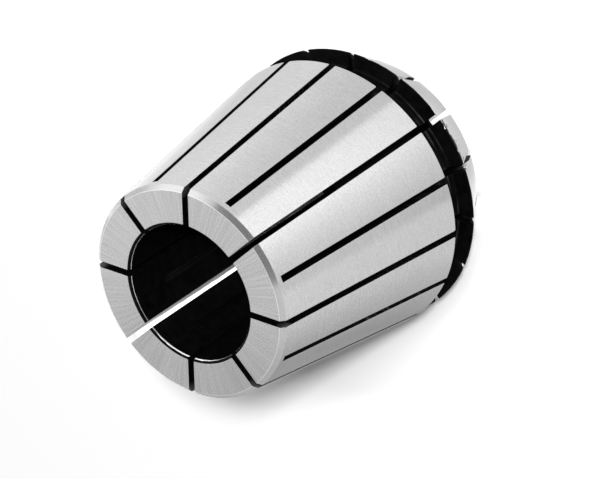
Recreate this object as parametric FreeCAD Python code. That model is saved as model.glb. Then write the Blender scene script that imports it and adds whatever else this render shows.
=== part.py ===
import FreeCAD, Part
import math
import os

# ER collet of size 40 for a 20 mm shank, one piece of spring steel. All lengths are in millimetres.
# The axis is Z. The collet stands on its nose face at z = 0, and its thin rear end points up.

# Overall size
overall_length = 46.0
collar_diameter = 41.0
taper_large_diameter = 41.0

# Half angles of the two cones, in degrees
taper_half_angle = 8.0
nose_half_angle = 30.0

# Collar at the nose and the extraction groove behind it
collar_height = 7.3
crest_land = 0.2
groove_width = 4.45
groove_diameter = 36.2
groove_corner_radius = 0.4

# Bore
bore_diameter = 20.0
bore_chamfer = 0.4

# Chamfer round the rear end and small edge break round the nose face
rear_chamfer = 0.65
nose_edge_break = 0.2

# Slots, sawn in turn from the nose and from the rear
slots_per_end = 8
slot_width = 0.95
rear_web = 1.4
nose_web = 2.5

# Saw blade that makes the slots, and how far its rim passes inside the bore's wall
saw_radius = 20.0
saw_reach = 3.4

# Angle of the first slot that is open at the rear
first_slot_angle = -90.0

# Room by which a slot's cutting outline runs past the open end
run_out = 1.0

bore_radius = bore_diameter / 2
collar_radius = collar_diameter / 2
groove_radius = groove_diameter / 2
taper_large_radius = taper_large_diameter / 2
groove_top = collar_height + groove_width
chamfer_start = overall_length - rear_chamfer
saw_centre_radius = bore_radius - saw_reach + saw_radius


def taper_radius(z):
    """Radius of the 8 degree taper at height z."""
    return taper_large_radius - (z - groove_top) * math.tan(math.radians(taper_half_angle))


def nose_radius(z):
    """Radius of the 30 degree nose cone at height z."""
    below_crest = collar_height - crest_land - z
    return collar_radius - below_crest * math.tan(math.radians(nose_half_angle))


def spot(radius, z):
    return FreeCAD.Vector(radius, 0, z)


def line(start, end):
    return Part.LineSegment(spot(*start), spot(*end)).toShape()


def corner_arc(start, centre, end):
    """Quarter arc of the groove's corner radius between two points, bulging away from its centre."""
    middle_r = (start[0] + end[0]) / 2 - centre[0]
    middle_z = (start[1] + end[1]) / 2 - centre[1]
    stretch = groove_corner_radius / math.hypot(middle_r, middle_z)
    middle = (centre[0] + middle_r * stretch, centre[1] + middle_z * stretch)
    return Part.Arc(spot(*start), spot(*middle), spot(*end)).toShape()


def turned_blank():
    """The turned and ground body before slotting: one section revolved round the axis."""
    corner = groove_corner_radius
    fillet_r = groove_radius + corner
    lower_z = collar_height + corner
    upper_z = groove_top - corner
    rear_edge_radius = taper_radius(chamfer_start)
    nose_and_collar = [
        (bore_radius, bore_chamfer),
        (bore_radius + bore_chamfer, 0),
        (nose_radius(nose_edge_break) - nose_edge_break, 0),
        (nose_radius(nose_edge_break), nose_edge_break),
        (collar_radius, collar_height - crest_land),
        (collar_radius, collar_height),
        (fillet_r, collar_height),
    ]
    body_and_rear = [
        (fillet_r, groove_top),
        (taper_large_radius, groove_top),
        (rear_edge_radius, chamfer_start),
        (rear_edge_radius - rear_chamfer, overall_length),
        (bore_radius + bore_chamfer, overall_length),
        (bore_radius, overall_length - bore_chamfer),
        (bore_radius, bore_chamfer),
    ]
    edges = [line(a, b) for a, b in zip(nose_and_collar, nose_and_collar[1:])]
    edges.append(corner_arc((fillet_r, collar_height), (fillet_r, lower_z), (groove_radius, lower_z)))
    edges.append(line((groove_radius, lower_z), (groove_radius, upper_z)))
    edges.append(corner_arc((groove_radius, upper_z), (fillet_r, upper_z), (fillet_r, groove_top)))
    edges.extend(line(a, b) for a, b in zip(body_and_rear, body_and_rear[1:]))
    section = Part.Face(Part.Wire(edges))
    return section.revolve(FreeCAD.Vector(0, 0, 0), FreeCAD.Vector(0, 0, 1), 360)


def saw_depth(radius):
    """Height from the saw's centre to its rim, at a given distance from the collet's axis."""
    return math.sqrt(saw_radius ** 2 - (saw_centre_radius - radius) ** 2)


def slot_cutter(open_z, centre_z, angle):
    """Path of the saw through one wall: a slab from the open end that stops in the blade's arc."""
    inner = saw_centre_radius - saw_radius
    toward_web = math.copysign(1, centre_z - open_z)
    diagonal = saw_radius * math.sqrt(0.5)
    arc_start = spot(inner, centre_z)
    arc_middle = spot(saw_centre_radius - diagonal, centre_z + toward_web * diagonal)
    arc_end = spot(saw_centre_radius, centre_z + toward_web * saw_radius)
    arc = Part.Arc(arc_start, arc_middle, arc_end).toShape()
    straight = Part.makePolygon([arc_end, spot(saw_centre_radius, open_z), spot(inner, open_z), arc_start])
    outline = Part.Wire([arc] + straight.Edges)
    slab = Part.Face(outline).extrude(FreeCAD.Vector(0, slot_width, 0))
    slab.translate(FreeCAD.Vector(0, -slot_width / 2, 0))
    slab.rotate(FreeCAD.Vector(0, 0, 0), FreeCAD.Vector(0, 0, 1), angle)
    return slab


def slot_cutters():
    """All slots: one set open at the rear, and one set open at the nose half a pitch away."""
    pitch = 360 / slots_per_end
    rear_slot_centre = nose_web + saw_depth(bore_radius)
    nose_slot_end = overall_length - rear_web
    nose_slot_centre = nose_slot_end - saw_depth(taper_radius(nose_slot_end))
    cutters = []
    for index in range(slots_per_end):
        angle = first_slot_angle + index * pitch
        cutters.append(slot_cutter(overall_length + run_out, rear_slot_centre, angle))
        cutters.append(slot_cutter(-run_out, nose_slot_centre, angle + pitch / 2))
    return cutters


collet = turned_blank().cut(slot_cutters())

os.makedirs("parts", exist_ok=True)
collet.Solids[0].exportStep("parts/collet.step")
print("solids", len(collet.Solids), "valid", collet.isValid(), "volume", round(collet.Volume, 1), "mm3")
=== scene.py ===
import math
from collections import namedtuple

import bmesh
import bpy
from mathutils import Matrix, Quaternion, Vector


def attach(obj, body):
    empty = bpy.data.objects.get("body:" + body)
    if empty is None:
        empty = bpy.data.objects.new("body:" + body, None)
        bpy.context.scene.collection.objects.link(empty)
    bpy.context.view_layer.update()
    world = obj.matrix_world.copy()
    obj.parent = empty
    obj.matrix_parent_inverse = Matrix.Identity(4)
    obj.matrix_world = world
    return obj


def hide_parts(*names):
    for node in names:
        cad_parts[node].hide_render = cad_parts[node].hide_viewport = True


# An ER collet, ground bright outside and black in its slots, groove and bore, on a plain pale floor.
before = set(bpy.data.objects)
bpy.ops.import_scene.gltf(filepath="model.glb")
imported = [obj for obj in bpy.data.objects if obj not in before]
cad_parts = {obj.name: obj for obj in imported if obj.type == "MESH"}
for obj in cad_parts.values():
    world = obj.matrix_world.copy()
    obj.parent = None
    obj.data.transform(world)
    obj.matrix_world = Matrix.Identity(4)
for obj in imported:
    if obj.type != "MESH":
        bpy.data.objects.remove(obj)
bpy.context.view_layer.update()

MM = 0.001

# Sizes of the collet in millimetres, as in the solid that this piece stands for
LENGTH = 46.0
COLLAR_RADIUS = 20.5
TAPER_LARGE_RADIUS = 20.5
TAPER_HALF_ANGLE = math.radians(8)
NOSE_HALF_ANGLE = math.radians(30)
COLLAR_HEIGHT = 7.3
CREST_LAND = 0.2
GROOVE_WIDTH = 4.45
GROOVE_RADIUS = 18.1
GROOVE_CORNER = 0.4
BORE_RADIUS = 10.0
BORE_CHAMFER = 0.4
REAR_CHAMFER = 0.65
NOSE_EDGE_BREAK = 0.2
SLOTS_PER_END = 8
SLOT_WIDTH = 0.95
REAR_WEB = 1.4
NOSE_WEB = 2.5
SAW_RADIUS = 20.0
SAW_REACH = 3.4
FIRST_SLOT_ANGLE = math.radians(-90)

# How finely the piece is meshed
FINGER_STEPS = 16
FILLET_STEPS = 4
SAW_ARC_STEPS = 24
EDGE_ROUNDING = 0.07
EDGE_SEGMENTS = 2
SHARPER_THAN = math.radians(24)

GROOVE_TOP = COLLAR_HEIGHT + GROOVE_WIDTH
CHAMFER_START = LENGTH - REAR_CHAMFER
CREST_START = COLLAR_HEIGHT - CREST_LAND
SAW_CENTRE = BORE_RADIUS - SAW_REACH + SAW_RADIUS
SLOTS = 2 * SLOTS_PER_END
SLOT_PITCH = 2 * math.pi / SLOTS

# Finishes of the surfaces, in the order of the material slots; EDGE stays on the two rear rims, whose bright
# steel is a painted highlight
TAPER, CHAMFER, FACE, NOSE, OXIDE, EDGE = range(6)
FLAT_WALL = -1

# A corner of the wall's section, the finish of the stretch that starts there, and that stretch's arc centre
Row = namedtuple("Row", "r z finish centre", defaults=(None,))


def taper_radius(z):
    return TAPER_LARGE_RADIUS - (z - GROOVE_TOP) * math.tan(TAPER_HALF_ANGLE)


def nose_radius(z):
    return COLLAR_RADIUS - (CREST_START - z) * math.tan(NOSE_HALF_ANGLE)


def saw_depth(radius):
    """Height from the saw's centre to its rim at a distance from the axis."""
    return math.sqrt(SAW_RADIUS ** 2 - (SAW_CENTRE - radius) ** 2)


REAR_SLOT_CENTRE = NOSE_WEB + saw_depth(BORE_RADIUS)
NOSE_SLOT_END = LENGTH - REAR_WEB
NOSE_SLOT_CENTRE = NOSE_SLOT_END - saw_depth(taper_radius(NOSE_SLOT_END))


def fillet(centre, start_angle, end_angle):
    """Rows of a groove corner, from its first point to the one before its last."""
    rows = []
    for step in range(FILLET_STEPS):
        angle = math.radians(start_angle + (end_angle - start_angle) * step / FILLET_STEPS)
        r = centre[0] + GROOVE_CORNER * math.cos(angle)
        z = centre[1] + GROOVE_CORNER * math.sin(angle)
        rows.append(Row(r, z, OXIDE, centre))
    return rows


def wall_section():
    """Outline of the wall from the bore's nose end outwards and up, and the rows where slots end."""
    low_corner = (GROOVE_RADIUS + GROOVE_CORNER, COLLAR_HEIGHT + GROOVE_CORNER)
    high_corner = (GROOVE_RADIUS + GROOVE_CORNER, GROOVE_TOP - GROOVE_CORNER)
    edge_radius = nose_radius(NOSE_EDGE_BREAK)
    chamfer_radius = taper_radius(CHAMFER_START)
    break_out_radius = SAW_CENTRE - math.sqrt(SAW_RADIUS ** 2 - REAR_SLOT_CENTRE ** 2)
    rear_slot_out = Row(break_out_radius, 0, FACE)
    rear_slot_in = Row(BORE_RADIUS, NOSE_WEB, OXIDE)
    nose_slot_out = Row(taper_radius(NOSE_SLOT_END), NOSE_SLOT_END, TAPER)
    nose_slot_in = Row(BORE_RADIUS, NOSE_SLOT_CENTRE + saw_depth(BORE_RADIUS), OXIDE)
    rows = [Row(BORE_RADIUS, BORE_CHAMFER, OXIDE)]
    rows.append(Row(BORE_RADIUS + BORE_CHAMFER, 0, FACE))
    rows.append(rear_slot_out)
    rows.append(Row(edge_radius - NOSE_EDGE_BREAK, 0, NOSE))
    rows.append(Row(edge_radius, NOSE_EDGE_BREAK, NOSE))
    rows.append(Row(COLLAR_RADIUS, CREST_START, OXIDE))
    rows.append(Row(COLLAR_RADIUS, COLLAR_HEIGHT, OXIDE))
    rows.extend(fillet(low_corner, 270, 180))
    rows.append(Row(GROOVE_RADIUS, low_corner[1], OXIDE))
    rows.extend(fillet(high_corner, 180, 90))
    rows.append(Row(high_corner[0], GROOVE_TOP, OXIDE))
    rows.append(Row(TAPER_LARGE_RADIUS, GROOVE_TOP, TAPER))
    rows.append(nose_slot_out)
    rows.append(Row(chamfer_radius, CHAMFER_START, CHAMFER))
    rows.append(Row(chamfer_radius - REAR_CHAMFER, LENGTH, FACE))
    rows.append(Row(BORE_RADIUS + BORE_CHAMFER, LENGTH, OXIDE))
    rows.append(Row(BORE_RADIUS, LENGTH - BORE_CHAMFER, OXIDE))
    rows.append(nose_slot_in)
    rows.append(rear_slot_in)
    ends = [rows.index(row) for row in (rear_slot_out, rear_slot_in, nose_slot_out, nose_slot_in)]
    return rows, ends


def saw_arc(centre_z, start, end):
    """Inner points of the saw's arc through the wall, from one row to another."""
    first = math.atan2(start.z - centre_z, start.r - SAW_CENTRE)
    last = math.atan2(end.z - centre_z, end.r - SAW_CENTRE)
    if last - first > math.pi:
        last -= 2 * math.pi
    if first - last > math.pi:
        last += 2 * math.pi
    points = []
    for step in range(1, SAW_ARC_STEPS):
        angle = first + (last - first) * step / SAW_ARC_STEPS
        points.append((SAW_CENTRE + SAW_RADIUS * math.cos(angle), centre_z + SAW_RADIUS * math.sin(angle)))
    return points


def beside_slot(bm, angle, r, z, side):
    """A vertex in the side wall of a slot, whose middle plane lies at an angle round the axis."""
    across = side * SLOT_WIDTH / 2
    along = math.sqrt(r * r - across * across)
    x = along * math.cos(angle) - across * math.sin(angle)
    y = along * math.sin(angle) + across * math.cos(angle)
    return bm.verts.new((x, y, z))


def finger_columns(bm, rows, left):
    """Columns of vertices across one finger, between the slot at an angle and the next."""
    columns = []
    for step in range(FINGER_STEPS + 1):
        column = []
        for row in rows:
            half_slot = math.asin(SLOT_WIDTH / 2 / row.r)
            angle = left + half_slot + (SLOT_PITCH - 2 * half_slot) * step / FINGER_STEPS
            column.append(bm.verts.new((row.r * math.cos(angle), row.r * math.sin(angle), row.z)))
        columns.append(column)
    return columns


def collet_shell():
    """The collet as one closed mesh in millimetres, with sharp edges: fingers, webs and slot walls."""
    bm = bmesh.new()
    row_tag = bm.faces.layers.int.new("row")
    rows, (rear_out, rear_in, nose_out, nose_in) = wall_section()
    count = len(rows)
    fingers = [finger_columns(bm, rows, FIRST_SLOT_ANGLE + k * SLOT_PITCH) for k in range(SLOTS)]

    def add(corners, finish, tag):
        face = bm.faces.new(corners)
        face.material_index = finish
        face[row_tag] = tag

    def strip(column_a, column_b, row):
        after = (row + 1) % count
        add((column_a[row], column_b[row], column_b[after], column_a[after]), rows[row].finish, row)

    for columns in fingers:
        for column_a, column_b in zip(columns, columns[1:]):
            for row in range(count):
                strip(column_a, column_b, row)

    for slot in range(SLOTS):
        angle = FIRST_SLOT_ANGLE + slot * SLOT_PITCH
        before, after = fingers[slot - 1][-1], fingers[slot][0]
        if slot % 2 == 0:
            centre_z = REAR_SLOT_CENTRE
            open_rows = list(range(rear_out, rear_in + 1))
        else:
            centre_z = NOSE_SLOT_CENTRE
            open_rows = list(range(nose_in, count)) + list(range(0, nose_out + 1))
        for row in range(count):
            if row not in open_rows[:-1]:
                strip(before, after, row)
        arc = saw_arc(centre_z, rows[open_rows[-1]], rows[open_rows[0]])
        rims = []
        for side, column in ((-1, before), (1, after)):
            arc_verts = [beside_slot(bm, angle, r, z, side) for r, z in arc]
            outline = [column[row] for row in open_rows] + arc_verts
            add(outline if side > 0 else outline[::-1], OXIDE, FLAT_WALL)
            rims.append([column[open_rows[-1]]] + arc_verts + [column[open_rows[0]]])
        for corners in zip(rims[0], rims[0][1:], rims[1][1:], rims[1]):
            add(corners, OXIDE, FLAT_WALL)
    bmesh.ops.recalc_face_normals(bm, faces=bm.faces)
    return bm, rows


def surface_normal(face, tag, place, rows):
    """True normal of the turned surface or slot wall that a face belongs to, at a place in millimetres."""
    if tag == FLAT_WALL:
        return face.normal.copy()
    radius = math.hypot(place.x, place.y)
    row, after = rows[tag], rows[(tag + 1) % len(rows)]
    if row.centre:
        along_r, along_z = row.centre[0] - radius, row.centre[1] - place.z
    else:
        along_r, along_z = after.z - row.z, row.r - after.r
    return Vector((along_r * place.x / radius, along_r * place.y / radius, along_z)).normalized()


def edge_finishes(mesh):
    """The finish of each face on a rounded edge, which is that of the surface it borders. The rims at the
    rear, whose bright steel is a painted highlight, are left out, because they keep their own."""
    sides = {}
    for face in mesh.polygons:
        for key in face.edge_keys:
            sides.setdefault(key, []).append(face)
    finishes = {}
    chamfer_rim = taper_radius(CHAMFER_START) - REAR_CHAMFER
    for face in mesh.polygons:
        if face.material_index != EDGE:
            continue
        radius = math.hypot(face.center.x, face.center.y)
        on_bore_rim = radius < BORE_RADIUS + EDGE_ROUNDING
        on_chamfer_rim = abs(radius - chamfer_rim) < EDGE_ROUNDING
        if face.center.z > CHAMFER_START and (on_bore_rim or on_chamfer_rim):
            continue
        around = [other.material_index for key in face.edge_keys for other in sides[key]]
        finishes[face.index] = next((finish for finish in around if finish != EDGE), OXIDE)
    return finishes


def rounded(sharp_mesh, rows):
    """The same mesh with small rounded edges and the true normals of its surfaces, in metres."""
    sharp = bpy.data.objects.new("sharp_collet", sharp_mesh)
    bpy.context.scene.collection.objects.link(sharp)
    bevel = sharp.modifiers.new("edges", "BEVEL")
    bevel.width = EDGE_ROUNDING
    bevel.segments = EDGE_SEGMENTS
    bevel.limit_method = "ANGLE"
    bevel.angle_limit = SHARPER_THAN
    bevel.material = EDGE
    bpy.context.view_layer.update()
    mesh = bpy.data.meshes.new_from_object(sharp.evaluated_get(bpy.context.evaluated_depsgraph_get()))
    bpy.data.objects.remove(sharp)
    mesh.name = "collet_body"
    tags = [tag.value for tag in mesh.attributes["row"].data]
    mesh.attributes.remove(mesh.attributes["row"])
    at_vertex = {}
    for face in mesh.polygons:
        if face.material_index != EDGE:
            for index in face.vertices:
                normal = surface_normal(face, tags[face.index], mesh.vertices[index].co, rows)
                at_vertex[index] = at_vertex.get(index, Vector()) + normal
    loop_normals = [None] * len(mesh.loops)
    for face in mesh.polygons:
        for loop in face.loop_indices:
            vertex = mesh.vertices[mesh.loops[loop].vertex_index]
            if face.material_index == EDGE:
                loop_normals[loop] = at_vertex.get(vertex.index, vertex.normal).normalized()
            else:
                loop_normals[loop] = surface_normal(face, tags[face.index], vertex.co, rows)
    for index, finish in edge_finishes(mesh).items():
        mesh.polygons[index].material_index = finish
    mesh.transform(Matrix.Scale(MM, 4))
    mesh.shade_smooth()
    mesh.normals_split_custom_set(loop_normals)
    return mesh


def grey(level):
    return (level, level, level, 1.0)


def direction(azimuth, elevation):
    """Unit vector from the collet: azimuth 0 is towards -Y and 90 towards +X, with elevation above level."""
    a, e = math.radians(azimuth), math.radians(elevation)
    return Vector((math.sin(a) * math.cos(e), -math.cos(a) * math.cos(e), math.sin(e)))


# Where a shaded point is: height, distance from the axis, and unit direction from the axis
At = namedtuple("At", "z radius c d")

# How far a noise strays from its middle of 0.5
NOISE_REACH = 0.25

# Width over which the limit between two finishes is soft, and the length of its waves
BLUR = 0.02 * MM
WAVER_LENGTH = 0.9 * MM

# Share of a speck's radius within which it is at its full strength
SPECK_CORE = 0.6

# Where the black finish is chipped most, round the crest, and the cosines from which and by which it is so
CHIPPED_AZIMUTH = -12.0
CHIPPED_RANGE = (math.cos(math.radians(13)), math.cos(math.radians(9)))

# The black finish past the crest: its width and waves, and for sound and chipped stretches the flakes'
# middle and size
LAP_WIDTH = 0.12 * MM
LAP_WAVES = 0.22 * MM
LAP_WAVE_LENGTH = 2.6 * MM
FLAKE_LENGTH = 1.3 * MM
FLAKE_MIDDLE = (0.5, 0.455)
FLAKE_SIZE = (0.6 * MM, 9.0 * MM)


class Nodes:
    """Short names for building a node tree."""

    def __init__(self, tree):
        self.tree = tree

    def node(self, kind, **settings):
        made = self.tree.nodes.new(kind)
        for key, value in settings.items():
            setattr(made, key, value)
        return made

    def feed(self, socket, value):
        if isinstance(value, bpy.types.NodeSocket):
            self.tree.links.new(value, socket)
        else:
            socket.default_value = value

    def math(self, operation, a, b=0.0):
        made = self.node("ShaderNodeMath", operation=operation)
        self.feed(made.inputs[0], a)
        self.feed(made.inputs[1], b)
        return made.outputs[0]

    def spread(self, value, low, high, to_low, to_high):
        """Maps a value's range to another, held at its ends."""
        made = self.node("ShaderNodeMapRange", clamp=True)
        for socket, number in zip(made.inputs, (value, low, high, to_low, to_high)):
            self.feed(socket, number)
        return made.outputs[0]

    def blend(self, share, a, b, kind="MIX"):
        made = self.node("ShaderNodeMix", data_type="RGBA", blend_type=kind)
        self.feed(made.inputs["Factor"], share)
        self.feed(made.inputs[6], a)
        self.feed(made.inputs[7], b)
        return made.outputs[2]

    def vector(self, x, y, z):
        made = self.node("ShaderNodeCombineXYZ")
        for socket, value in zip(made.inputs, (x, y, z)):
            self.feed(socket, value)
        return made.outputs[0]

    def noise(self, vector, scale=1.0, detail=2.0, roughness=0.55):
        made = self.node("ShaderNodeTexNoise")
        self.feed(made.inputs["Vector"], vector)
        made.inputs["Scale"].default_value = scale
        made.inputs["Detail"].default_value = detail
        made.inputs["Roughness"].default_value = roughness
        return made.outputs["Fac"]


class Finish(Nodes):
    """One material with its main shader, and the patterns that the collet's finishes share."""

    def __init__(self, name):
        self.material = bpy.data.materials.new(name)
        self.material.use_nodes = True
        super().__init__(self.material.node_tree)
        self.shader = self.tree.nodes["Principled BSDF"]
        self.where = self.node("ShaderNodeTexCoord").outputs["Object"]
        parts = self.node("ShaderNodeSeparateXYZ")
        self.feed(parts.inputs[0], self.where)
        x, y, z = parts.outputs
        squares = self.math("ADD", self.math("MULTIPLY", x, x), self.math("MULTIPLY", y, y))
        radius = self.math("SQRT", squares)
        self.at = At(z, radius, self.math("DIVIDE", x, radius), self.math("DIVIDE", y, radius))

    def lines(self, value, around, along, detail=2.0):
        """Noise that turns with the collet: so fine round the axis, and so fine along a chosen value."""
        space = self.vector(
            self.math("MULTIPLY", self.at.c, around),
            self.math("MULTIPLY", self.at.d, around),
            self.math("MULTIPLY", value, along),
        )
        return self.noise(space, detail=detail)

    def vary(self, base, *parts):
        """A base value plus noises, each with the swing that it adds to either side."""
        total = base
        for noise, swing in parts:
            centred = self.math("SUBTRACT", noise, 0.5)
            total = self.math("ADD", total, self.math("MULTIPLY", centred, swing / NOISE_REACH))
        return total

    def specks(self, cell, size, share):
        """Small scattered spots, in a share of the cells of a given size."""
        made = self.node("ShaderNodeTexVoronoi")
        self.feed(made.inputs["Vector"], self.where)
        made.inputs["Scale"].default_value = 1 / cell
        near = self.spread(made.outputs["Distance"], SPECK_CORE * size / cell, size / cell, 1, 0)
        picked = self.math("LESS_THAN", made.outputs["Color"], share)
        return self.math("MULTIPLY", near, picked)

    def beside_slots(self, pitch):
        """Distance of a point from the nearest slot's wall, for slots at a given pitch."""
        turn = self.math("ARCTAN2", self.at.d, self.at.c)
        steps = self.math("DIVIDE", self.math("SUBTRACT", turn, FIRST_SLOT_ANGLE), pitch)
        off = self.math("ABSOLUTE", self.math("SUBTRACT", steps, self.math("ROUND", steps)))
        middle = self.math("MULTIPLY", self.math("MULTIPLY", off, pitch), self.at.radius)
        return self.math("SUBTRACT", middle, SLOT_WIDTH / 2 * MM)

    def beside_taper_slots(self):
        """The same on the taper, whose nose slots stop short of its small end."""
        past_nose_slots = self.math("GREATER_THAN", self.at.z, NOSE_SLOT_END * MM)
        every, rear = self.beside_slots(SLOT_PITCH), self.beside_slots(2 * SLOT_PITCH)
        extra = self.math("MULTIPLY", past_nose_slots, self.math("SUBTRACT", rear, every))
        return self.math("ADD", every, extra)

    def facing(self, azimuth):
        """Cosine of the angle round the axis between a point and an azimuth."""
        way = direction(azimuth, 0)
        along_x = self.math("MULTIPLY", self.at.c, way.x)
        along_y = self.math("MULTIPLY", self.at.d, way.y)
        return self.math("ADD", along_x, along_y)

    def within(self, distance, limit):
        """1 up to a limit and 0 past it, softly."""
        return self.spread(self.math("SUBTRACT", distance, limit), -BLUR, BLUR, 1, 0)

    def ragged(self, distance, reach, swing):
        """1 within a reach of an edge and 0 past it, with a wavering limit."""
        waver = self.noise(self.where, scale=1 / WAVER_LENGTH, detail=3.0)
        return self.within(distance, self.vary(reach, (waver, swing)))

    def lap_limit(self):
        """How far past the crest, towards the nose, the black finish reaches. Where it is below 0, the
        finish is chipped off as far on the crest's other side."""
        chipped = self.spread(self.facing(CHIPPED_AZIMUTH), *CHIPPED_RANGE, 0, 1)
        waves = self.noise(self.where, scale=1 / LAP_WAVE_LENGTH)
        flakes = self.noise(self.where, scale=1 / FLAKE_LENGTH, detail=4.0, roughness=0.75)
        jag = self.math("SUBTRACT", flakes, self.spread(chipped, 0, 1, *FLAKE_MIDDLE))
        jag = self.math("MULTIPLY", jag, self.spread(chipped, 0, 1, *FLAKE_SIZE))
        return self.math("ADD", self.vary(LAP_WIDTH, (waves, LAP_WAVES)), jag)

    def corner(self, distance_a, distance_b, size):
        """1 in the corner that a rounding of a given size takes off between two edges."""
        short_a = self.math("MAXIMUM", self.math("SUBTRACT", size, distance_a), 0)
        short_b = self.math("MAXIMUM", self.math("SUBTRACT", size, distance_b), 0)
        squares = self.math("ADD", self.math("POWER", short_a, 2), self.math("POWER", short_b, 2))
        return self.spread(self.math("SQRT", squares), size - BLUR, size + BLUR, 0, 1)

    def steel(self, tone, roughness, turn, height, depth):
        """Ground steel of a varying tone and roughness, with the stretched gloss of grinding lines."""
        self.tone = self.blend(tone, grey(0), grey(1))
        self.feed(self.shader.inputs["Base Color"], self.tone)
        self.feed(self.shader.inputs["Roughness"], roughness)
        self.shader.inputs["Metallic"].default_value = 1.0
        tangent = self.node("ShaderNodeTangent", direction_type="RADIAL", axis="Z")
        self.feed(self.shader.inputs["Tangent"], tangent.outputs[0])
        self.shader.inputs["Anisotropic"].default_value = STEEL_STRETCH
        self.shader.inputs["Anisotropic Rotation"].default_value = turn
        self.shader.inputs["Specular IOR Level"].default_value = OXIDE_GLOSS
        self.bump(height, depth)

    def blacken(self, share):
        """Lays the black finish over the steel where share is 1."""
        self.feed(self.shader.inputs["Base Color"], self.blend(share, self.tone, grey(OXIDE_SHADE)))
        self.feed(self.shader.inputs["Metallic"], self.math("SUBTRACT", 1.0, share))

    def bump(self, height, depth):
        made = self.node("ShaderNodeBump")
        made.inputs["Strength"].default_value = 1.0
        made.inputs["Distance"].default_value = depth
        self.feed(made.inputs["Height"], height)
        self.feed(self.shader.inputs["Normal"], made.outputs[0])


# Tones and gloss of the two finishes; the turn of steel's gloss is a share of a full turn
STEEL = 0.68
# Steel for the rear rims, the chips at the crest and the bore rim's crescent. It is brighter than the ground
# steel, which paints a highlight; the chips themselves are real
HIGHLIGHT_STEEL = 0.95
BARE_HIGHLIGHT_METAL = 0.4
STEEL_ROUGHNESS = 0.22
STEEL_STRETCH = 1.0
ROUND_LINES = 0.25
RADIAL_LINES = 0.0
OXIDE_SHADE = 0.0022
# The groove's black is a little lighter than the rest: a painted sheen
OXIDE_GROOVE = 0.0030
OXIDE_RUBBED = 0.034
# Lighter black where slot walls end: partly thin finish, partly painted light falling into the slots
OXIDE_THIN_LIT = 0.10
OXIDE_GLOSS = 0.06
OXIDE_SPECK = 0.3

# Roughness of the black finish: least and most on turned surfaces, on the rear slots' walls, and off and
# on a saw's marks in the nose slots' walls
TURNED_ROUGHNESS = (0.42, 0.55)
REAR_WALL_ROUGHNESS = 0.14
NOSE_WALL_ROUGHNESS = (0.74, 0.46)
WALL_LIMIT = (0.02 * MM, 0.06 * MM)

# Fineness of the grain in ground steel, per metre, and depths of lines
GRAIN = 4500.0
TAPER_LINE_DEPTH = 0.006 * MM
END_LINE_DEPTH = 0.0012 * MM
EDGE_LINE_DEPTH = 0.001 * MM
OXIDE_LINE_DEPTH = 0.004 * MM

# How far off the second set of lines lies in its noise, so that it differs from the first
SECOND_LINES = 0.5

# How far the black finish laps over the edges of slots and groove, its waves, and the slots' rounded ends
SLOT_LAP = 0.015 * MM
END_SLOT_LAP = 0.02 * MM
SLOT_LAP_WAVES = 0.02 * MM
GROOVE_LAP = 0.03 * MM
SLOT_END_ROUNDING = 0.32 * MM

# Limits, in distance from the axis or in height, of the parts of the black finish
OUTER_RADII = (17.6 * MM, 18.0 * MM)
GROOVE_HEIGHTS = (7.35 * MM, 7.5 * MM)
CREST_HEIGHTS = (0.3 * MM, 0.4 * MM)
# Heights and radii where slot walls turn lighter: partly thin finish, partly painted light falling into the
# slots
THIN_LIT_NOSE_HEIGHTS = (2.0 * MM, 6.4 * MM)
THIN_LIT_REAR_HEIGHTS = (44.0 * MM, 45.4 * MM)
THIN_LIT_REAR_RADII = (14.2 * MM, 15.6 * MM)
THIN_LIT_REAR_SHARE = 0.6

# Where the bore's rear rim carries a painted highlight, the cosines from which and by which it does, how
# widely, and with what waves
RIM_HIGHLIGHT_AZIMUTH = -143.0
RIM_HIGHLIGHT_RANGE = (math.cos(math.radians(45)), math.cos(math.radians(15)))
RIM_HIGHLIGHT_HEIGHTS = ((LENGTH - BORE_CHAMFER - 0.05) * MM, (LENGTH - BORE_CHAMFER) * MM)
RIM_HIGHLIGHT_REACH = 0.13 * MM
RIM_HIGHLIGHT_WAVES = 0.035 * MM


def taper_finish():
    """The long cone: fine grinding lines round it, faint clouds, small marks, and slots with rounded ends."""
    s = Finish("ground_taper")
    fine = s.lines(s.at.z, around=13.0, along=6500.0)
    long = s.lines(s.at.z, around=3.5, along=4000.0)
    cloud = s.noise(s.where, scale=210.0, detail=4.0)
    grain = s.noise(s.where, scale=GRAIN, detail=1.0)
    marks = s.specks(cell=3.2 * MM, size=0.16 * MM, share=0.45)
    second = s.lines(s.math("ADD", s.at.z, SECOND_LINES), around=9.0, along=4200.0)
    strokes = s.spread(second, 0.66, 0.74, 0, 0.045)
    tone = s.vary(STEEL, (fine, 0.034), (long, 0.014), (cloud, 0.018), (grain, 0.045))
    tone = s.math("SUBTRACT", s.math("ADD", tone, strokes), s.math("MULTIPLY", marks, 0.16))
    roughness = s.vary(STEEL_ROUGHNESS, (cloud, 0.02), (long, 0.015))
    s.steel(tone, roughness, ROUND_LINES, fine, TAPER_LINE_DEPTH)
    slot = s.beside_taper_slots()
    end = s.math("SUBTRACT", s.at.z, GROOVE_TOP * MM)
    slot_lap = s.ragged(slot, SLOT_LAP, SLOT_LAP_WAVES)
    black = s.math("MAXIMUM", slot_lap, s.ragged(end, GROOVE_LAP, GROOVE_LAP))
    s.blacken(s.math("MAXIMUM", black, s.corner(slot, end, SLOT_END_ROUNDING)))
    return s.material


def chamfer_finish():
    """The rear chamfer: fine grinding lines round it."""
    s = Finish("ground_chamfer")
    fine = s.lines(s.at.z, around=5.0, along=9000.0)
    grain = s.noise(s.where, scale=GRAIN, detail=1.0)
    tone = s.vary(STEEL, (fine, 0.03), (grain, 0.03))
    s.steel(tone, STEEL_ROUGHNESS, ROUND_LINES, fine, EDGE_LINE_DEPTH)
    s.blacken(s.ragged(s.beside_slots(2 * SLOT_PITCH), SLOT_LAP, SLOT_LAP_WAVES))
    return s.material


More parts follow.
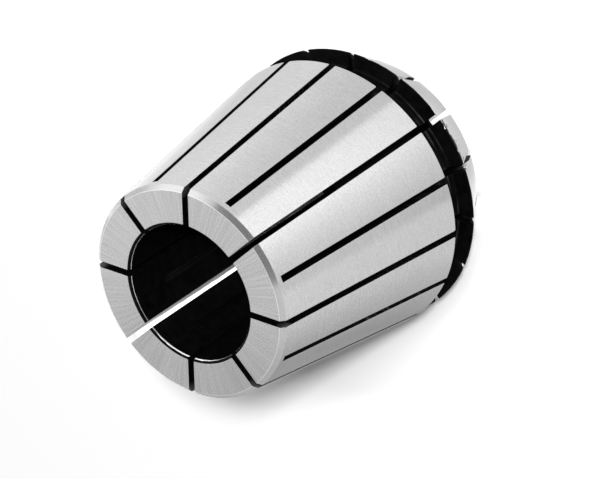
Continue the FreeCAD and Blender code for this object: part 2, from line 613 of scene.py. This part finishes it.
def face_finish():
    """The flat ends: radial grinding lines, faint clouds and small marks."""
    s = Finish("ground_face")
    fine = s.lines(s.at.radius, around=70.0, along=90.0)
    streaks = s.lines(s.math("ADD", s.at.radius, SECOND_LINES), around=38.0, along=60.0)
    broad = s.lines(s.at.radius, around=14.0, along=40.0)
    cloud = s.noise(s.where, scale=260.0, detail=3.0)
    grain = s.noise(s.where, scale=GRAIN, detail=1.0)
    marks = s.specks(cell=2.4 * MM, size=0.11 * MM, share=0.5)
    tone = s.vary(STEEL, (fine, 0.085), (streaks, 0.014), (broad, 0.010), (cloud, 0.010), (grain, 0.080))
    tone = s.math("SUBTRACT", tone, s.math("MULTIPLY", marks, 0.14))
    s.steel(tone, s.vary(STEEL_ROUGHNESS, (broad, 0.02)), RADIAL_LINES, fine, END_LINE_DEPTH)
    s.blacken(s.ragged(s.beside_slots(2 * SLOT_PITCH), END_SLOT_LAP, SLOT_LAP_WAVES))
    return s.material


def nose_finish():
    """The short cone: grinding lines, and the crest's black finish that laps over it with a chipped limit."""
    s = Finish("ground_nose")
    fine = s.lines(s.at.z, around=6.0, along=7000.0)
    grain = s.noise(s.where, scale=GRAIN, detail=1.0)
    tone = s.vary(STEEL, (fine, 0.03), (grain, 0.02))
    s.steel(tone, STEEL_ROUGHNESS, ROUND_LINES, fine, END_LINE_DEPTH)
    past_crest = s.math("SUBTRACT", CREST_START * MM, s.at.z)
    crest_lap = s.within(past_crest, s.lap_limit())
    slot_lap = s.ragged(s.beside_slots(SLOT_PITCH), END_SLOT_LAP, SLOT_LAP_WAVES)
    s.blacken(s.math("MAXIMUM", crest_lap, slot_lap))
    return s.material


def rim_with_painted_highlight():
    """The two rims at the rear: steel brighter than the ground steel, a painted highlight."""
    s = Finish("rim_with_painted_highlight")
    highlight_shape = s.lines(s.at.z, around=3.0, along=2000.0)
    s.steel(s.vary(HIGHLIGHT_STEEL, (highlight_shape, 0.1)), STEEL_ROUGHNESS, ROUND_LINES, highlight_shape, EDGE_LINE_DEPTH)
    return s.material


def oxide_tone(s, lines, outer):
    """The black finish's tone: a lighter groove that is a painted sheen, turning rings and specks in the
    groove, and lighter where slot walls end, partly thin finish and partly painted light falling into the
    slots.
    """
    # The groove's lighter black is a painted sheen
    in_groove = s.math("MULTIPLY", outer, s.spread(s.at.z, *GROOVE_HEIGHTS, 0, 1))
    tone = s.blend(in_groove, grey(OXIDE_SHADE), grey(OXIDE_GROOVE))
    rings = s.spread(s.lines(s.at.z, around=1.6, along=2600.0), 0.62, 0.68, 0, 1)
    tone = s.blend(s.math("MULTIPLY", rings, in_groove), tone, grey(OXIDE_RUBBED))
    specks = s.specks(cell=1.9 * MM, size=0.10 * MM, share=0.2)
    tone = s.blend(s.math("MULTIPLY", specks, outer), tone, grey(OXIDE_SPECK))
    # Lighter towards the slot openings: partly thin finish, partly painted light
    thin_lit_at_nose = s.math("MULTIPLY", outer, s.spread(s.at.z, *THIN_LIT_NOSE_HEIGHTS, 1, 0))
    outwards = s.spread(s.at.radius, *THIN_LIT_REAR_RADII, 0, THIN_LIT_REAR_SHARE)
    thin_lit_at_rear = s.math("MULTIPLY", outwards, s.spread(s.at.z, *THIN_LIT_REAR_HEIGHTS, 0, 1))
    tone = s.blend(s.math("MAXIMUM", thin_lit_at_nose, thin_lit_at_rear), tone, grey(OXIDE_THIN_LIT))
    dust = s.noise(s.where, scale=900.0, detail=4.0)
    swing = s.spread(s.math("ADD", lines, dust), 0.75, 1.3, 0.4, 1.7)
    return s.blend(1.0, tone, swing, kind="MULTIPLY")


def chipped_crest(s, outer):
    """1 where the black finish is chipped off beside the crest, on its groove side."""
    rise = s.math("SUBTRACT", s.at.z, CREST_START * MM)
    before_crest = s.math("ADD", rise, s.math("SUBTRACT", COLLAR_RADIUS * MM, s.at.radius))
    bare_with_highlight = s.spread(s.math("ADD", before_crest, s.lap_limit()), -BLUR, BLUR, 1, 0)
    bare_with_highlight = s.math("MULTIPLY", bare_with_highlight, s.spread(rise, *CREST_HEIGHTS, 1, 0))
    return s.math("MULTIPLY", bare_with_highlight, outer)


def painted_rim_highlight(s):
    """1 on the crescent of the bore's rear rim that is painted bright: a painted highlight where the key
    light falls.
    """
    highlight_shape = s.spread(s.facing(RIM_HIGHLIGHT_AZIMUTH), *RIM_HIGHLIGHT_RANGE, 0, RIM_HIGHLIGHT_REACH)
    from_bore = s.math("SUBTRACT", s.at.radius, BORE_RADIUS * MM)
    highlight_crescent = s.ragged(from_bore, highlight_shape, RIM_HIGHLIGHT_WAVES)
    return s.math("MULTIPLY", highlight_crescent, s.spread(s.at.z, *RIM_HIGHLIGHT_HEIGHTS, 0, 1))


def oxide_roughness(s, lines):
    """Roughness of the black finish: smooth on the rear slots' walls, with saw marks on the nose slots'."""
    turned = s.spread(lines, 0.3, 0.7, *TURNED_ROUGHNESS)
    from_slot = s.math("ABSOLUTE", s.beside_slots(SLOT_PITCH))
    saw_marks = s.spread(s.lines(s.at.radius, around=4.0, along=3600.0), 0.35, 0.65, *NOSE_WALL_ROUGHNESS)
    roughness = s.spread(from_slot, *WALL_LIMIT, saw_marks, turned)
    from_rear_slot = s.math("ABSOLUTE", s.beside_slots(2 * SLOT_PITCH))
    return s.spread(from_rear_slot, *WALL_LIMIT, REAR_WALL_ROUGHNESS, roughness)


def black_oxide():
    """The black finish of the slots, groove, collar and bore, with bright steel at its chips and on a
    crescent of the bore's rear rim as a painted highlight.
    """
    s = Finish("black_oxide")
    lines = s.lines(s.at.z, around=3.0, along=5000.0, detail=3.0)
    outer = s.spread(s.at.radius, *OUTER_RADII, 0, 1)
    bare_with_highlight = s.math("MAXIMUM", chipped_crest(s, outer), painted_rim_highlight(s))
    # Chips and the rim crescent get bright steel. The chips are real, but their brightness and the crescent
    # are a painted highlight
    s.feed(s.shader.inputs["Base Color"], s.blend(bare_with_highlight, oxide_tone(s, lines, outer), grey(HIGHLIGHT_STEEL)))
    s.feed(s.shader.inputs["Metallic"], s.math("MULTIPLY", bare_with_highlight, BARE_HIGHLIGHT_METAL))
    s.feed(s.shader.inputs["Roughness"], oxide_roughness(s, lines))
    s.shader.inputs["Specular IOR Level"].default_value = OXIDE_GLOSS
    s.bump(lines, OXIDE_LINE_DEPTH)
    return s.material


def collet_piece():
    bm, rows = collet_shell()
    sharp_mesh = bpy.data.meshes.new("sharp_collet")
    bm.to_mesh(sharp_mesh)
    bm.free()
    finishes = {
        TAPER: taper_finish,
        CHAMFER: chamfer_finish,
        FACE: face_finish,
        NOSE: nose_finish,
        OXIDE: black_oxide,
        EDGE: rim_with_painted_highlight,
    }
    for slot in finishes:
        sharp_mesh.materials.append(None)
    mesh = rounded(sharp_mesh, rows)
    for slot, make in finishes.items():
        mesh.materials[slot] = make()
    piece = bpy.data.objects.new("collet_body", mesh)
    bpy.context.scene.collection.objects.link(piece)
    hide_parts("collet")
    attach(piece, "root")


# Camera, fitted to the photograph
CAMERA_AZIMUTH = -2.613
CAMERA_ELEVATION = 45.438
CAMERA_ROLL = math.radians(-124.147)
CAMERA_DISTANCE = 0.486
CAMERA_AIM = Vector((-0.00233, 0.00011, 0.02237))
FOCAL_LENGTH_PX = 3486.8
PHOTO_WIDTH_PX = 600
SENSOR_MM = 36.0
CAMERA_NEAR = 0.01
CAMERA_FAR = 10.0

# Levels of the light: 1 is white
FLOOR_TONE = 0.8
FLOOR_GLOW = 0.15
SKY = 0.75
LOW_SKY = 0.58
SIDE_LIGHT = 1.33
DARK_ROOM = 0.23

# The floor: half its side in metres, and its roughness
FLOOR_HALF = 1.5
FLOOR_ROUGHNESS = 0.9

# Part of the room: its azimuth from the camera's own, its elevation, and how far from there it is full and
# past which it is gone, all in degrees
Part = namedtuple("Part", "azimuth elevation core edge")
LOW_PART = Part(-124, 5, 12, 40)
BRIGHT_PART = Part(91, 23, 15, 33)
DARK_PART = Part(9, CAMERA_ELEVATION, 34.3, 38.3)

# Floor cards: height over the floor, and distances from the axis where a card starts, where its three gains
# hold, and where it ends, in millimetres
CARD_HEIGHT = 0.3
TAPER_REACHES = (21.0, 35.0, 50.0, 80.0, 260.0)
NOSE_REACHES = (16.4, 16.9, 17.3, 17.8, 21.0)

# Gains of a floor card's levels: near, halfway and far
SIDE_GAINS = (1.0, 1.0, 1.1)
FRONT_GAINS = (0.85, 1.0, 1.15)
NOSE_GAINS = (1.1, 1.0, 0.95)

# Rib of a floor card: its azimuth from the camera's own, its level, and how far beside the axis it passes,
# in millimetres
Rib = namedtuple("Rib", "azimuth level aside", defaults=(0.0,))

# Azimuth and distance beside the axis of the two limits between cards, which the taper mirrors as lines
# along its own length
LOW_LIMIT = (-49.5, 7.6)
HIGH_LIMIT = (33.3, -6.1)

# Card that the flat end mirrors: its elevation and distance in metres, and the columns and rows of its
# points, each with its place in metres and its level or gain
BACK_CARD_ELEVATION = 45.0
BACK_CARD_DISTANCE = 0.2
BACK_CARD_COLUMNS = ((-0.2, 0.55), (-0.02, 0.55), (0.012, 0.85), (0.2, 0.85))
BACK_CARD_ROWS = ((-0.15, 0.9), (-0.012, 0.9), (0.012, 1.1), (0.15, 1.1))

# Patches on the floor, in millimetres: their height, the half width and distances from the axis of the white
# strip that glows as painted light, and the radius, level and corners of the dark disc of painted shade
PATCH_HEIGHT = 0.1
STRIP_HALF_WIDTH = 0.6
STRIP_REACHES = (16.4, 12.5)
STRIP_LEVEL = 1.0
BORE_SHADE_RADIUS = 12.6
BORE_SHADE_LEVEL = 0.003
BORE_SHADE_CORNERS = 32


def stage_object(mesh, material):
    mesh.materials.append(material)
    made = bpy.data.objects.new(mesh.name, mesh)
    bpy.context.scene.collection.objects.link(made)
    return made


def floor():
    """A pale floor that keeps the collet's shadow, and looks as white in reflections as to the camera."""
    s = Finish("pale_floor")
    s.shader.inputs["Base Color"].default_value = grey(FLOOR_TONE)
    s.shader.inputs["Roughness"].default_value = FLOOR_ROUGHNESS
    s.shader.inputs["Specular IOR Level"].default_value = 0.0
    rays = s.node("ShaderNodeLightPath").outputs
    seen = s.math("MAXIMUM", rays["Is Camera Ray"], rays["Is Glossy Ray"])
    seen = s.math("MAXIMUM", seen, rays["Is Transmission Ray"])
    s.shader.inputs["Emission Color"].default_value = grey(1.0)
    s.feed(s.shader.inputs["Emission Strength"], s.math("MULTIPLY", seen, FLOOR_GLOW))
    corners = [(x * FLOOR_HALF, y * FLOOR_HALF, 0) for x, y in ((-1, -1), (1, -1), (1, 1), (-1, 1))]
    mesh = bpy.data.meshes.new("floor")
    mesh.from_pydata(corners, [], [(0, 1, 2, 3)])
    stage_object(mesh, s.material)


def card(name, ribs, to_camera=False):
    """A glowing card made of ribs, each a row of (point, level), which only reflections show unless the
    camera may see it too."""
    mesh = bpy.data.meshes.new(name)
    rows = len(ribs[0])
    points = [point for rib in ribs for point in rib]
    corners = [k * rows + row for k in range(len(ribs) - 1) for row in range(rows - 1)]
    faces = [(c, c + 1, c + rows + 1, c + rows) for c in corners]
    mesh.from_pydata([place for place, level in points], [], faces)
    glow = mesh.attributes.new("glow", "FLOAT", "POINT")
    for index, (place, level) in enumerate(points):
        glow.data[index].value = level
    material = bpy.data.materials.new(name)
    material.use_nodes = True
    n = Nodes(material.node_tree)
    lamp = n.node("ShaderNodeEmission")
    n.feed(lamp.inputs["Strength"], n.node("ShaderNodeAttribute", attribute_name="glow").outputs["Fac"])
    n.feed(n.tree.nodes["Material Output"].inputs["Surface"], lamp.outputs[0])
    made = stage_object(mesh, material)
    made.visible_camera = to_camera
    made.visible_diffuse = False
    made.visible_transmission = False
    made.visible_shadow = False


def floor_card(name, reaches, gains, ribs):
    """A card on the floor, from the levels of its ribs."""
    near, halfway, far = gains
    up = Vector((0, 0, CARD_HEIGHT))
    made = []
    for azimuth, level, aside in ribs:
        along = direction(CAMERA_AZIMUTH + azimuth, 0)
        across = direction(CAMERA_AZIMUTH + azimuth + 90, 0)
        places = [(along * reach + across * aside + up) * MM for reach in reaches]
        levels = [level * gain for gain in (near, near, halfway, far, far)]
        made.append(list(zip(places, levels)))
    card(name, made)


def taper_cards():
    """What the taper mirrors: a dim low side, a bright front between two sharp limits, and a high side."""
    low_side = [
        Rib(-165, 0.4),
        Rib(-115, 0.4),
        Rib(-70, 0.8),
        Rib(LOW_LIMIT[0], 0.85, LOW_LIMIT[1]),
    ]
    front = [
        Rib(LOW_LIMIT[0], 0.65, LOW_LIMIT[1]),
        Rib(-25, 0.8),
        Rib(0, 1.25),
        Rib(HIGH_LIMIT[0], 1.25, HIGH_LIMIT[1]),
    ]
    high_side = [
        Rib(HIGH_LIMIT[0], 0.8, HIGH_LIMIT[1]),
        Rib(50, 0.8),
        Rib(75, 0.95),
        Rib(115, 0.9),
        Rib(150, 1.6),
    ]
    floor_card("low_side_card", TAPER_REACHES, SIDE_GAINS, low_side)
    floor_card("front_card", TAPER_REACHES, FRONT_GAINS, front)
    floor_card("high_side_card", TAPER_REACHES, SIDE_GAINS, high_side)


def nose_card():
    """A ring round the foot of the nose, whose cone mirrors it."""
    ring = [
        Rib(-75, 1.2),
        Rib(-48, 1.6),
        Rib(-30, 0.95),
        Rib(20, 0.85),
        Rib(50, 1.0),
        Rib(80, 0.85),
    ]
    floor_card("nose_card", NOSE_REACHES, NOSE_GAINS, ring)


def back_card():
    """What the flat end mirrors: brighter towards one side, and towards its top."""
    back = direction(CAMERA_AZIMUTH + 180, BACK_CARD_ELEVATION)
    across = direction(CAMERA_AZIMUTH + 90, 0)
    upwards = across.cross(back)
    middle = back * BACK_CARD_DISTANCE + Vector((0, 0, LENGTH * MM))
    ribs = []
    for aside, level in BACK_CARD_COLUMNS:
        foot = middle + across * aside
        ribs.append([(foot + upwards * height, level * gain) for height, gain in BACK_CARD_ROWS])
    card("back_card", ribs)


def slot_strip():
    """A white strip under one nose slot, where the photograph shows no shadow."""
    # Painted light: the strip glows white to the camera and covers the floor's shadow under the slot
    ribs = []
    for side in (-1, 1):
        corners = [Vector((side * STRIP_HALF_WIDTH, -reach, PATCH_HEIGHT)) for reach in STRIP_REACHES]
        ribs.append([(corner * MM, STRIP_LEVEL) for corner in corners])
    card("slot_painted_light", ribs, to_camera=True)


def bore_shade():
    """A dark disc in the bore, where the photograph shows no floor."""
    # Painted shade: a dark sheet that stands for the shade on the floor inside the bore
    middle = Vector((0, 0, PATCH_HEIGHT))
    ribs = []
    for k in range(BORE_SHADE_CORNERS + 1):
        rim = middle + direction(k * 360 / BORE_SHADE_CORNERS, 0) * BORE_SHADE_RADIUS
        ribs.append([(middle * MM, BORE_SHADE_LEVEL), (rim * MM, BORE_SHADE_LEVEL)])
    card("bore_shade", ribs, to_camera=True)


# Lamps: radiances, angles in degrees, and places and sizes in metres
LAMP_DISTANCE = 2.4
KEY = 588.0
KEY_AT = (3.1, 44.7)
KEY_SIZE = (0.16, 0.20)
TAIL = 101.0
TAIL_FROM = (5.9, 44.9)
TAIL_TO = (27.6, 61.4)
TAIL_WIDTH = 0.09
FILL = 0.12
FILL_HEIGHT = 0.9
FILL_SIZE = 1.2
BEAM = 2.6
BEAM_PLACE = Vector((0.00125, 0.041, 0.06))
BEAM_SIZE = (0.044, 0.0012)
BEAM_SPREAD = math.radians(1.5)


def softbox(name, place, toward, side, size, radiance, spread=math.pi):
    """A soft lamp that lights the floor and the black finish, and isn't mirrored in the steel. Its size is
    measured along a side and across it."""
    light = bpy.data.lights.new(name, "AREA")
    light.shape = "RECTANGLE"
    light.size, light.size_y = size
    light.energy = math.pi * size[0] * size[1] * radiance
    light.spread = spread
    lamp = bpy.data.objects.new(name, light)
    bpy.context.scene.collection.objects.link(lamp)
    lamp.location = place
    back = -toward.normalized()
    up = back.cross(side).normalized()
    lamp.rotation_mode = "QUATERNION"
    lamp.rotation_quaternion = Matrix((up.cross(back), up, back)).transposed().to_quaternion()
    lamp.visible_camera = False
    lamp.visible_glossy = False


def lamps():
    """A key and its slanting tail throw the shadow; a beam whitens the strip of floor that one slot shows."""
    middle = Vector((0, 0, LENGTH / 2 * MM))
    to_key = direction(*KEY_AT)
    softbox("key", middle + to_key * LAMP_DISTANCE, -to_key, Vector((1, 0, 0)), KEY_SIZE, KEY)
    tail_start = direction(*TAIL_FROM) * LAMP_DISTANCE
    tail_end = direction(*TAIL_TO) * LAMP_DISTANCE
    tail = tail_end - tail_start
    to_tail = (tail_start + tail_end) / 2
    softbox("tail", middle + to_tail, -to_tail, tail, (tail.length, TAIL_WIDTH), TAIL)
    down = Vector((0, 0, -1))
    softbox("fill", Vector((0, 0, FILL_HEIGHT)), down, Vector((1, 0, 0)), (FILL_SIZE, FILL_SIZE), FILL)
    along_slot = direction(CAMERA_AZIMUTH + 180, 0)
    softbox("floor_beam", BEAM_PLACE, down, along_slot, BEAM_SIZE, BEAM, BEAM_SPREAD)


def studio():
    """What the steel mirrors above the floor: an even room with a low, a bright and a dark part."""
    world = bpy.data.worlds.new("studio")
    bpy.context.scene.world = world
    world.use_nodes = True
    world.cycles_visibility.diffuse = False
    n = Nodes(world.node_tree)
    view = n.node("ShaderNodeTexCoord").outputs["Generated"]
    colour = grey(SKY)
    for part, level in ((LOW_PART, LOW_SKY), (BRIGHT_PART, SIDE_LIGHT), (DARK_PART, DARK_ROOM)):
        made = n.node("ShaderNodeVectorMath", operation="DOT_PRODUCT")
        n.feed(made.inputs[0], view)
        made.inputs[1].default_value = direction(CAMERA_AZIMUTH + part.azimuth, part.elevation)
        edge, core = math.cos(math.radians(part.edge)), math.cos(math.radians(part.core))
        colour = n.blend(n.spread(made.outputs["Value"], edge, core, 0, 1), colour, grey(level))
    colour = n.blend(n.node("ShaderNodeLightPath").outputs["Is Camera Ray"], colour, grey(1.0))
    n.feed(n.tree.nodes["Background"].inputs["Color"], colour)


def camera():
    data = bpy.data.cameras.new("camera")
    data.sensor_width = SENSOR_MM
    data.lens = FOCAL_LENGTH_PX * SENSOR_MM / PHOTO_WIDTH_PX
    data.clip_start = CAMERA_NEAR
    data.clip_end = CAMERA_FAR
    eye = bpy.data.objects.new("camera", data)
    bpy.context.scene.collection.objects.link(eye)
    toward = direction(CAMERA_AZIMUTH, CAMERA_ELEVATION)
    eye.location = CAMERA_AIM + toward * CAMERA_DISTANCE
    eye.rotation_mode = "QUATERNION"
    eye.rotation_quaternion = (-toward).to_track_quat("-Z", "Y") @ Quaternion((0, 0, 1), CAMERA_ROLL)
    bpy.context.scene.camera = eye


collet_piece()
floor()
taper_cards()
nose_card()
back_card()
slot_strip()
bore_shade()
studio()
lamps()
camera()
bpy.context.scene.view_settings.view_transform = "Standard"
